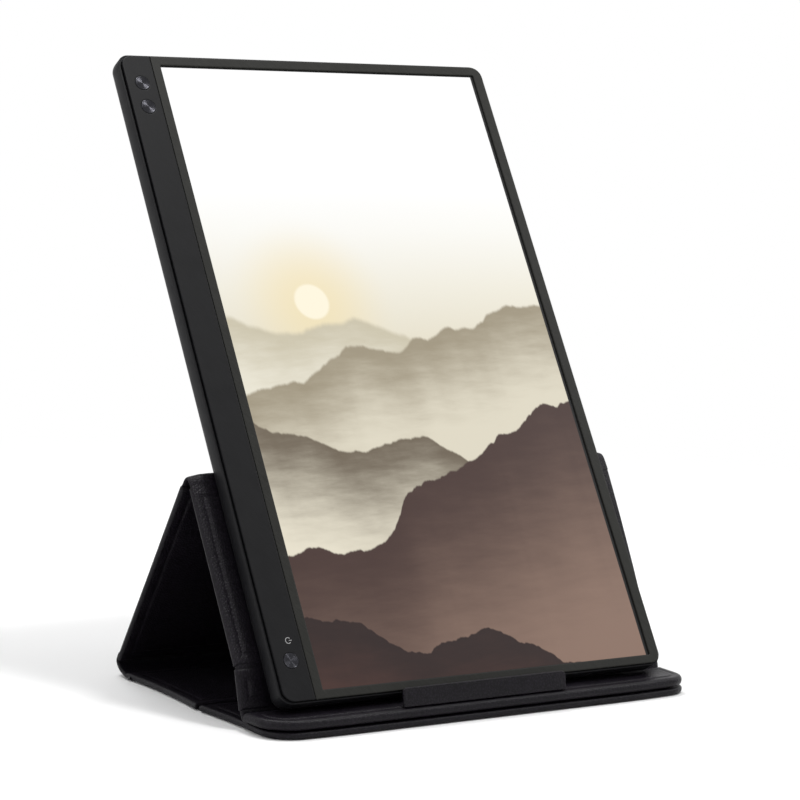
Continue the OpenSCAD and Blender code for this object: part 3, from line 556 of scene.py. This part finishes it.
def foldBand(name, path, width, bodies, start=None, replaced=()):
    look = {**bandBase, **bandLook[name]}
    builder = bmesh.new()
    half = width / 2
    near = [(0.0, 0.35), (0.25, 0.68), (0.7, 0.9), (1.5, 1.0)]  # from the edge, share of the thickness
    count = int((width - 3) / 5)
    stations = [(-half + d, share) for d, share in near]
    stations += [(-half + 1.5 + (width - 3) * k / count, 1.0) for k in range(1, count)]
    stations += [(half - d, share) for d, share in reversed(near)]
    loops = []
    for x, share in stations:
        outer, inner = [], []
        for k, (y, z) in enumerate(path):
            (y0, z0), (y1, z1) = path[max(k - 1, 0)], path[min(k + 1, len(path) - 1)]
            span = math.hypot(y1 - y0, z1 - z0)
            across, along = (z1 - z0) / span, -(y1 - y0) / span
            crumple = 0.11 * noise.noise(Vector((x / 9, k / 3.2, look["seed"])))
            run = k / (len(path) - 1)
            nearEdge = max(abs(x) / half * 8 - 7, 0)
            pull = drawnIn(look["right"] if x > 0 else look["left"], run)
            wide = x - math.copysign(nearEdge, x) * pull
            high = z - look["sink"] * math.sin(math.pi * run) ** 2 * nearEdge ** 3
            for side, row in ((1, outer), (-1, inner)):
                off = side * look["thick"] / 2 * share + crumple
                spot = (wide * mm, (y + across * off) * mm, (high + along * off) * mm)
                row.append(builder.verts.new(spot))
        loops.append(outer + inner[::-1])
    joinRings(builder, loops)
    bmesh.ops.translate(builder, verts=builder.verts, vec=(look["middle"] * mm, 0, 0))
    piece = makePiece(name, builder, leather, None if start else bodies, replaced, sharp=60)
    if start:
        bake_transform(piece)


def arcPath(centre, radius, first, last, steps):
    turns = [math.radians(first + (last - first) * k / steps) for k in range(steps + 1)]
    return [(centre[0] + radius * math.cos(a), centre[1] + radius * math.sin(a)) for a in turns]


def pointsAlong(point, direction, *steps):
    return [(point[0] + direction[0] * d, point[1] + direction[1] * d) for d in steps]


def bezierPath(points, steps):
    path = []
    for k in range(steps + 1):
        t = k / steps
        row = list(points)
        while len(row) > 1:
            row = [(a[0] + (b[0] - a[0]) * t, a[1] + (b[1] - a[1]) * t) for a, b in zip(row, row[1:])]
        path.append(row[0])
    return path


bandWidth = cover - 1.6  # a little inside the panels' sides
sunk = 0.8  # middle of a band below the panels' outer face
rearUp = (-math.sin(rearLean), math.cos(rearLean))
displayUp = (math.sin(lean), math.cos(lean))
toeUp = (math.sin(toeLean), math.cos(toeLean))

# rear fold: the leather lifts off the table before it turns up
middle = stand["rearRadius"] - sunk
turnEnd = math.degrees(rearLean)
exitPoint = arcPath(rear, middle, turnEnd, turnEnd, 1)[0]
floorPoint = (rear[0] - 9.0, 1.25)
path = [(floorPoint[0] - 3.5, 1.5), (floorPoint[0] - 1.8, 1.3)]
nearExit = pointsAlong(exitPoint, rearUp, -4.4, 1.5, 3.5)
path += bezierPath([floorPoint, (rear[0] - 1.5, 1.2), nearExit[0], exitPoint], 18) + nearExit[1:]
foldBand("rearFoldBand", path, cover, ("base", "rear_panel"), (rear[0] - 1, 1.2),
         ["rear_fold_spine"])

# ridge fold: the leather stands up in a soft round between the two boards' ends
middle = stand["ridgeRadius"] - sunk
bend = arcPath(ridge, middle, turnEnd, 180 - stand["lean"], 2)
behind = pointsAlong(bend[0], rearUp, -7.0, -5.0, -3.0, 0.0)
before = pointsAlong(bend[2], displayUp, 0.0, -3.0, -5.0, -7.0)
crown = ridge[1] + stand["ridgeRadius"] + 3.1
path = behind[:2] + bezierPath([behind[2], behind[3], (ridge[0] + 2.3, crown), (ridge[0] - 0.3, crown),
                                before[0], before[1]], 16) + before[2:]
foldBand("ridgeFoldBand", path, cover, ("rear_panel", "front_panel"), behind[2], ["ridge_spine"])

# kink above the toe
path = pointsAlong(kink, displayUp, 4.0, 2.5, 1.2, 0.5) + pointsAlong(kink, toeUp, -0.5, -1.2, -2.5, -4.0)
foldBand("kinkBand", path, bandWidth, ("front_panel", "toe"), pointsAlong(kink, displayUp, 1.5)[0])

# toe fold
inToe = pointsAlong(toe, toeUp, 5.5, 4.0, toeEnd)
stripEnd = stand["baseFront"] + stand["stripDepth"]
foldHeight = stand["stripLow"] + 1.25
onStrip = [(stripEnd - d, foldHeight) for d in (0, 2, 4)]
path = inToe[:2] + bezierPath([inToe[2], (toe[0] + 0.2, toe[1] - 0.2), (toe[0] - 0.6, foldHeight - 0.1),
                               onStrip[0]], 12) + onStrip[1:]
foldBand("toeFoldBand", path, bandWidth, ("toe", "strip"), inToe[2], ["toe_fold_spine"])

# crease of the lower layer
path = [(crease + d, 0.72) for d in (-4.0, -2.6, -1.5, -0.7, 0.0, 0.7, 1.5, 2.6, 4.0)]
foldBand("creaseBand", path, bandWidth, "base", replaced=["crease_spine"])

# lip's welded flap on the strip and the bend up into the lip
stripTop = stand["stripLow"] + stand["stripThick"]
path = [(-71.0, stripTop - 0.25), (-72.0, stripTop), (-73.5, stripTop + 0.02), (-75.2, stripTop + 0.02)]
path += bezierPath([(-76.0, stripTop + 0.02), (-77.7, stripTop + 0.05), (-77.5, stripTop + 1.2),
                    (-77.3, stripTop + 2.6)], 10)
foldBand("lipFlap", path, lipLook["flapWidth"], ("strip", "lip"), (-76.0, stripTop + 0.02))
print("fold bands made")


# Display housing: a moulded tray with a lip, a rounded back, screw wells and the socket's mouth

housingLook = {
    "corner": 7.0, "wall": 1.8, "back": 1.6, "round": (3.0, 4.6), "rim": 1.15, "edge": 0.28,
    "groove": 1.6, "grooveIn": 0.6, "postX": 109.4, "postZ": (62.0, 178.4, 294.8),
    "wellRadius": 2.4, "wellDepth": 1.0, "wellBevel": 0.3,
    "socket": (-61.2, 7.4, 9.0, 3.2), "socketGap": (0.2, 0.19),  # across, deep, width, height; room round it
}


def socketLoop(gap=(0, 0), inset=0.0):  # the socket's round-ended outline, as (x, y)
    x, deep, width, height = housingLook["socket"]
    half, radius = width / 2 + gap[0], height / 2 + gap[1]
    box = (x - half, x + half, deep - radius, deep + radius)
    return roundedLoop(box, (radius,) * 4, inset, (4, 1), 8)


def cutAway(piece, cutters):
    for cutter in cutters:
        cut = piece.modifiers.new("cut", "BOOLEAN")
        cut.operation, cut.solver, cut.object = "DIFFERENCE", "EXACT", cutter
    shaped = piece.evaluated_get(bpy.context.evaluated_depsgraph_get())
    mesh = bpy.data.meshes.new_from_object(shaped)
    builder = bmesh.new()
    builder.from_mesh(mesh)
    bpy.data.meshes.remove(mesh)
    for used in (piece, *cutters):
        bpy.data.objects.remove(used)
    return builder


def buildHousing():
    look = housingLook
    box = (-monW / 2, monW / 2, 0.0, monH)
    wall, edge, rim, groove, inside = (look[k] for k in ("wall", "edge", "rim", "groove", "grooveIn"))
    inward, deeper = look["round"]
    floor = monT - look["back"]
    rings = [(wall + 30, floor), (wall + 1.2, floor), (wall, floor - 1.0), (wall, groove + 0.2),
             (wall - 0.25, groove), (inside + 0.2, groove), (inside + 0.02, groove - 0.15),
             (inside, rim + 0.2), (inside - 0.1, rim), (edge, rim), (edge * 0.3, rim + edge * 0.3),
             (0.0, rim + edge)]
    turns = [math.pi / 2 * k / 8 for k in range(9)]
    rings += [(inward * (1 - math.cos(a)), monT - deeper * (1 - math.sin(a))) for a in turns]
    rings += [(inward + 1.2, monT), (wall + 34, monT)]
    builder = bmesh.new()
    corners = (look["corner"],) * 4
    ringStack(builder, lambda inset: roundedLoop(box, corners, inset, (16, 20), 10), rings)
    tray = addObject("tray", builder)
    cutters = []
    well = look["wellRadius"]
    mouth = well + look["wellBevel"]
    profile = [(well, monT - look["wellDepth"]), (well, monT - 0.25)]
    profile += [(mouth, monT + 0.05), (mouth, monT + 1)]
    for x in (-look["postX"], look["postX"]):
        for z in look["postZ"]:
            builder = bmesh.new()
            ringStack(builder, lambda radius: circleLoop(x, z, radius), profile)
            cutters.append(addObject("cutter", builder))
    builder = bmesh.new()
    joinRings(builder, [addLevel(builder, socketLoop(look["socketGap"]), z) for z in (monH - 3, monH + 1)])
    cutters.append(addObject("cutter", builder))
    makePiece("rearHousing", cutAway(tray, cutters), housingAbs, "display", ["rear_housing"],
              displayFrame)


buildHousing()
print("housing made")


# Front plates: a bezel round the picture and a chin with the button holes

plateLook = {
    "gap": 0.95, "chinGap": 1.9, "border": (0.3, 1.9, 0.3, 0.9), "corner": 6.0, "cut": 0.25,
    "seamX": -94.35, "seam": 0.3, "edge": 0.3, "bezelThick": 0.8, "chinThick": 1.4,
    "buttonX": -102.5, "buttonZ": (339.5, 325.5, 21.3), "holeRadius": 4.05,
}


def facePlate(name, box, radii, holes, thick, material, replaced):
    builder = bmesh.new()
    edge = plateLook["edge"]
    turns = [math.pi / 2 * k / 4 for k in range(5)]
    rings = [(edge + 0.5, 0.0)] + [(edge * (1 - math.sin(a)), edge * (1 - math.cos(a))) for a in turns]
    rings += [(0.0, thick)]
    outlines = [lambda inset: roundedLoop(box, radii, inset, (20, 40), 8)] + holes
    ends = [ringStack(builder, loopAt, rings, capped=False) for loopAt in outlines]
    for loops in zip(*ends):
        fillBetween(builder, loops)
    makePiece(name, builder, material, "display", replaced, displayFrame)


def buildPlates():
    look = plateLook
    gap, seam, corner, cut = look["gap"], look["seam"] / 2, look["corner"], look["cut"]
    left, right, low, high = -monW / 2 + look["chinGap"], monW / 2 - gap, gap, monH - gap
    sides = zip(wallpaper["area"], (-1, 1, -1, 1), look["border"])
    window = [edge + side * extra for edge, side, extra in sides]
    opening = [lambda inset: roundedLoop(window, (0.5 + inset,) * 4, -inset, (20, 40), 8)]
    facePlate("frontBezel", (look["seamX"] + seam, right, low, high), (cut, corner, corner, cut), opening,
              look["bezelThick"], bezelAbsPaintedSheen, ["front_bezel"])
    holes = [lambda inset, z=z: circleLoop(look["buttonX"], z, look["holeRadius"] + inset)
             for z in look["buttonZ"]]
    facePlate("chinCover", (left, look["seamX"] - seam, low, high), (corner, cut, cut, corner), holes,
              look["chinThick"], chinAbs, ["chin_cover"])


buildPlates()
print("front plates made")


# Screen panel behind the bezel's window

screenLook = {"below": 2.9, "above": 3.5, "front": 0.85, "thick": 1.2, "bevel": 0.15}


def buildScreen():
    look = screenLook
    low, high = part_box("lcd_cell")
    bottom, top = wallpaper["area"][2:]
    box = (low.x / mm, high.x / mm, bottom - look["below"], top + look["above"])
    front, back, bevel = look["front"], look["front"] + look["thick"], look["bevel"]
    rings = [(0.6, front), (bevel, front), (0.0, front + bevel)]
    rings += [(0.0, back - bevel), (bevel, back), (0.6, back)]
    builder = bmesh.new()
    ringStack(builder, lambda inset: roundedLoop(box, (0.4,) * 4, inset, (8, 8), 3), rings)
    makePiece("screenPanel", builder, panelGlass, "display", ["lcd_cell"], displayFrame)


buildScreen()


# Round buttons: turned caps with a raised rim, a dished face and fine rings

buttonLook = {
    "radius": 4.0, "proud": 0.25, "rim": 0.45, "dish": 0.16, "rings": 6, "ringDeep": 0.012,
    "flange": 0.7, "flangeFrom": 1.6, "flangeTo": 2.0, "stemRadius": 1.5, "stemEnd": 2.45,
}


def buildButtons():
    look = buttonLook
    radius, count = look["radius"], look["rings"]
    top = -look["proud"]
    floor = top + look["dish"]
    inner = radius - look["rim"] - 0.25
    profile = [(0.05, floor - 0.05), (0.35, floor - 0.05), (0.5, floor)]
    step = (inner - 0.6) / count
    for start in (0.6 + (inner - 0.6) * k / count for k in range(count)):
        profile += [(start + step * 0.2, floor), (start + step * 0.5, floor + look["ringDeep"]),
                    (start + step * 0.8, floor)]
    profile += [(inner, floor), (inner + 0.12, floor - 0.03), (inner + 0.25, top + 0.02),
                (radius - 0.3, top), (radius - 0.1, top + 0.05), (radius, top + 0.18)]
    outer, stem = radius + look["flange"], look["stemRadius"]
    profile += [(radius, look["flangeFrom"]), (outer, look["flangeFrom"]), (outer, look["flangeTo"]),
                (stem, look["flangeTo"]), (stem, look["stemEnd"])]
    names = (("menuButton", "menu_button"), ("selectButton", "select_button"),
             ("powerButton", "power_button"))
    for (name, node), z in zip(names, plateLook["buttonZ"]):
        builder = bmesh.new()
        ringStack(builder, lambda size: circleLoop(0, 0, size, 96), profile)
        at = displayFrame @ place(plateLook["buttonX"], 0, z)
        makePiece(name, builder, buttonMetal, node, [node], at, sharp=40)


buildButtons()


# Power mark: an open ring and a bar, printed on the chin

markLook = {"across": 1.2, "up": 31.5, "radius": 1.45, "line": 0.34, "opening": 84, "bar": (0.35, 1.1, 1.9),
            "front": -0.02, "thick": 0.03}


def buildMark():
    look = markLook
    x, z = plateLook["buttonX"] + look["across"], look["up"]
    half = look["line"] / 2
    turns = [math.radians(look["opening"] / 2 + (360 - look["opening"]) * k / 40) for k in range(41)]
    ring = [[(x + size * math.cos(a), z + size * math.sin(a)) for size in
             (look["radius"] - half, look["radius"] + half)] for a in turns]
    bar = [[(x + d, z - half), (x + d, z + half)] for d in look["bar"]]
    builder = bmesh.new()
    for line in (ring, bar):
        rings = []
        for (x0, z0), (x1, z1) in line:
            corners = ((x0, look["front"], z0), (x1, look["front"], z1))
            corners += ((x1, look["front"] + look["thick"], z1), (x0, look["front"] + look["thick"], z0))
            rings.append([builder.verts.new([v * mm for v in corner]) for corner in corners])
        joinRings(builder, rings)
    makePiece("powerMark", builder, markPaint, "display", (), displayFrame)


buildMark()
print("screen, buttons and mark made")


# Data socket: a drawn steel mouth with a tongue and gold contacts

socketLook = {
    "length": 7.15, "sunk": 0.25, "shell": 0.35, "base": 0.4, "bevel": 0.12,
    "tongue": (3.3, 0.35), "tongueSunk": 0.9, "contacts": 12, "pitch": 0.5, "contact": (0.13, 0.03),
    "contactFace": 0.37, "contactSunk": 1.2,
}


def addBlock(builder, middle, half, low, high, edge):  # a bar along the display with softened edges
    (x, y), (halfX, halfY) = middle, half
    box = (x - halfX, x + halfX, y - halfY, y + halfY)
    levels = ((low, edge), (low + edge, 0.0), (high - edge, 0.0), (high, edge))
    joinRings(builder, [addLevel(builder, roundedLoop(box, (edge * 2,) * 4, inset, (1, 1), 2), z)
                        for z, inset in levels])


def buildSocket():
    look = socketLook
    x, deep = housingLook["socket"][:2]
    high = monH - look["sunk"]
    low = high - look["length"]
    shell, bevel, start = look["shell"], look["bevel"], low + look["base"]
    levels = [(shell, start), (shell, high - bevel), (shell - 0.1, high), (0.1, high), (0.0, high - bevel),
              (0.0, low)]
    builder = bmesh.new()
    joinRings(builder, [addLevel(builder, socketLoop(inset=inset), z) for inset, z in levels])
    makePiece("socketShell", builder, socketSteel, "display", ["usb_socket"], displayFrame)
    tongue = bmesh.new()
    addBlock(tongue, (x, deep), look["tongue"], start, high - look["tongueSunk"], 0.08)
    makePiece("socketTongue", tongue, tongueResin, "display", (), displayFrame)
    contacts = bmesh.new()
    first = x - (look["contacts"] - 1) * look["pitch"] / 2
    for k in range(look["contacts"]):
        for side in (-1, 1):
            middle = (first + k * look["pitch"], deep + side * look["contactFace"])
            addBlock(contacts, middle, look["contact"], start + look["base"], high - look["contactSunk"],
                     0.01)
    makePiece("socketContacts", contacts, contactGold, "display", (), displayFrame)


# Liquid crystal polymer, moulded black
tongueResin = innerPlastic("mouldedResin", "#161617", "#1f1f20", 0.45, 0.3)
buildSocket()
print("socket made")


# Pieces inside keep their shapes and get the finish of the real ones

innerFinishes = [
    # grey board, pressed from fibres
    (innerPlastic("fibreBoard", "#5c564d", "#6f685e", 0.85, 0.8), ["lower_front_board", "lower_rear_board",
     "rear_panel_board", "front_panel_board", "toe_board", "strip_board", "lip_board"]),
    (magnetNickel, ["base_magnets", "strip_magnets"]),
    # polyester film with a diffusing coat
    (innerPlastic("diffuserFilm", "#e3e5e8", "#f1f2f4", 0.6, 0.4), ["optical_films"]),
    # cast acrylic with printed dots
    (innerPlastic("acrylicGuide", "#d5e4ea", "#e6f0f3", 0.12, 2.0, {"IOR": 1.49}), ["light_guide"]),
    # flexible circuit with yellow phosphor lamps
    (innerPlastic("lampStrip", "#e6dca0", "#f3ecc4", 0.5, 0.6), ["led_bar"]),
    (innerPlastic("whitePolycarbonate", "#dcdcd6", "#ecece7", 0.5, 0.9), ["lcd_frame"]),
    (traySteel, ["lcd_tray"]),
    (greenBoard, ["timing_board", "main_board", "key_board"]),
    # polyimide film with copper inside
    (innerPlastic("polyimideFilm", "#a8641e", "#bf7a2c", 0.3, 1.0), ["panel_flex"]),
    (innerPlastic("ribbonCable", "#1c1c1e", "#2a2a2c", 0.45, 0.7), ["video_cable"]),
    (innerPlastic("nylonSwitch", "#b4b4ac", "#c9c9c2", 0.5, 0.5), ["key_switches"]),
    (screwSteel, ["board_screws", "housing_screws"]),
]
for material, names in innerFinishes:
    for name in names:
        nodes[name].data.materials.clear()
        nodes[name].data.materials.append(material)
print("inner pieces finished")


# Camera, from the photograph's own perspective

cameraLook = {"place": (-743.8, -1150.5, 316.3), "yaw": 32.538, "pitch": 7.038, "roll": 2.02, "lens": 122.1}


def buildCamera():
    look = cameraLook
    yaw, pitch, roll = (math.radians(look[k]) for k in ("yaw", "pitch", "roll"))
    ahead = Vector((math.sin(yaw) * math.cos(pitch), math.cos(yaw) * math.cos(pitch), -math.sin(pitch)))
    level = Vector((math.cos(yaw), -math.sin(yaw), 0))
    above = level.cross(ahead)
    right = math.cos(roll) * level + math.sin(roll) * above
    up = math.cos(roll) * above - math.sin(roll) * level
    camera = bpy.data.objects.new("camera", bpy.data.cameras.new("camera"))
    camera.data.lens, camera.data.sensor_width = look["lens"], 36.0
    camera.data.clip_start, camera.data.clip_end = 0.05, 50.0
    turn = Matrix((right, up, -ahead)).transposed().to_4x4()
    camera.matrix_world = Matrix.Translation([v * mm for v in look["place"]]) @ turn
    bpy.context.collection.objects.link(camera)
    bpy.context.scene.camera = camera


buildCamera()


# Stage: pale floor that fades to white, soft boxes and an even sky

stageLook = {
    "floor": "#f6f6f6", "floorRadius": 6000, "floorDrop": 0.2, "fade": (300, 900), "sky": 0.5,  # sizes in mm
    "aim": (0, 0, 0.14), "lamps": [  # name, place, width and height in metres, power
        ("keyBox", (0.6, -0.5, 2.4), 0.4, 0.4, 24.0),
        ("leftBox", (-1.8, -0.1, 1.3), 0.6, 1.2, 7.0),
        ("rightBox", (2.2, -0.7, 1.9), 0.8, 0.8, 14.0),
        ("topBox", (-0.1, 0.8, 2.0), 1.2, 0.7, 20.0),
    ],
}


def seenDirectly(tree):  # 1 where the camera, a reflection or clear glass shows the surface
    path = addNode(tree, "ShaderNodeLightPath")
    seen = path.outputs["Is Camera Ray"]
    for ray in ("Is Glossy Ray", "Is Transmission Ray"):
        seen = addNode(tree, "ShaderNodeMath", {"operation": "MAXIMUM"}, {0: seen, 1: path.outputs[ray]})
    return seen


def buildFloor():
    look = stageLook
    builder = bmesh.new()
    builder.faces.new(addLevel(builder, circleLoop(0, 0, look["floorRadius"], 64), -look["floorDrop"]))
    material, tree, spot = startMaterial("paintedFloor")
    away = addNode(tree, "ShaderNodeVectorMath", {"operation": "LENGTH"}, {0: spot})
    start, end = look["fade"]
    far = addNode(tree, "ShaderNodeMapRange",
                  {"interpolation_type": "SMOOTHSTEP", "From Min": start * mm, "From Max": end * mm},
                  {"Value": away.outputs["Value"]})
    share = addNode(tree, "ShaderNodeMath", {"operation": "MULTIPLY"}, {0: far, 1: seenDirectly(tree)})
    paint = addNode(tree, "ShaderNodeBsdfDiffuse", {"Color": linear(look["floor"])})
    white = addNode(tree, "ShaderNodeEmission", {"Color": (1, 1, 1, 1), "Strength": 1.0})
    mix = addNode(tree, "ShaderNodeMixShader", None, {0: share, 1: paint, 2: white})
    addNode(tree, "ShaderNodeOutputMaterial", None, {"Surface": mix})
    makePiece("floor", builder, material, None)


def buildSky():
    world = bpy.data.worlds.new("sky")
    bpy.context.scene.world = world
    world.use_nodes = True
    tree = world.node_tree
    tree.nodes.clear()
    light = addNode(tree, "ShaderNodeBackground", {"Color": (1, 1, 1, 1), "Strength": stageLook["sky"]})
    shown = addNode(tree, "ShaderNodeBackground", {"Color": (1, 1, 1, 1), "Strength": 1.0})
    mix = addNode(tree, "ShaderNodeMixShader", None, {0: seenDirectly(tree), 1: light, 2: shown})
    addNode(tree, "ShaderNodeOutputWorld", None, {"Surface": mix})


def buildLamps():
    for name, at, width, height, power in stageLook["lamps"]:
        lamp = bpy.data.objects.new(name, bpy.data.lights.new(name, "AREA"))
        lamp.data.shape, lamp.data.size, lamp.data.size_y = "RECTANGLE", width, height
        lamp.data.energy = power
        lamp.location = at
        lamp.rotation_mode = "QUATERNION"
        lamp.rotation_quaternion = (Vector(at) - Vector(stageLook["aim"])).to_track_quat("Z", "Y")
        bpy.context.collection.objects.link(lamp)


buildFloor()
buildSky()
buildLamps()
bpy.context.scene.view_settings.view_transform = "Standard"
print("stage set")
